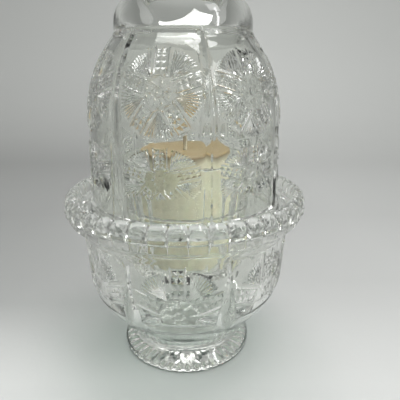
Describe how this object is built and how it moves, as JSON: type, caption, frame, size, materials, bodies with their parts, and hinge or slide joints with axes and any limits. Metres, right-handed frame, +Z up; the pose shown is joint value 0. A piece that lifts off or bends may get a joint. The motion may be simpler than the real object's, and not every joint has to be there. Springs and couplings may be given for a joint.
{
  "type": "fairy lamp",
  "caption": "Clear pressed-glass fairy lamp: footed bowl with beaded rim, domed shade with chimney hole, and a flanged candle cup holding a votive candle.",
  "frame": {"origin": "centre of the circle on which the foot stands, on the surface under the lamp", "axes": "+Z up along the lamp's axis; -Y is the front seen in the picture, +X its right"},
  "size_m": [0.1198, 0.12, 0.178],
  "materials": {
    "clear_glass": "fire-polished clear pressed glass with a faint grey-green tint",
    "cup_glass": "fire-polished clear fluted glass",
    "wax": "satin cream to tan wax, slightly translucent",
    "wick_cotton": "braided cotton, waxed, darkened at the tip",
    "tinned_steel": "dull tinned sheet"
  },
  "bodies": {
    "bowl": {"footed_bowl": "clear_glass", "beaded_rim": "clear_glass"},
    "cup": {"candle_cup": "cup_glass"},
    "shade": {"shade": "clear_glass"},
    "candle": {"candle": "wax", "wick": "wick_cotton", "wick_tab": "tinned_steel"}
  },
  "joints": [
    {"name": "cup_lift", "type": "slide", "parent": "bowl", "child": "cup", "axis": [0, 0, 1], "range_m": [0, 0.06]},
    {"name": "shade_lift", "type": "slide", "parent": "cup", "child": "shade", "axis": [0, 0, 1], "range_m": [0, 0.12]},
    {"name": "candle_lift", "type": "slide", "parent": "cup", "child": "candle", "axis": [0, 0, 1], "range_m": [0, 0.05]}
  ]
}
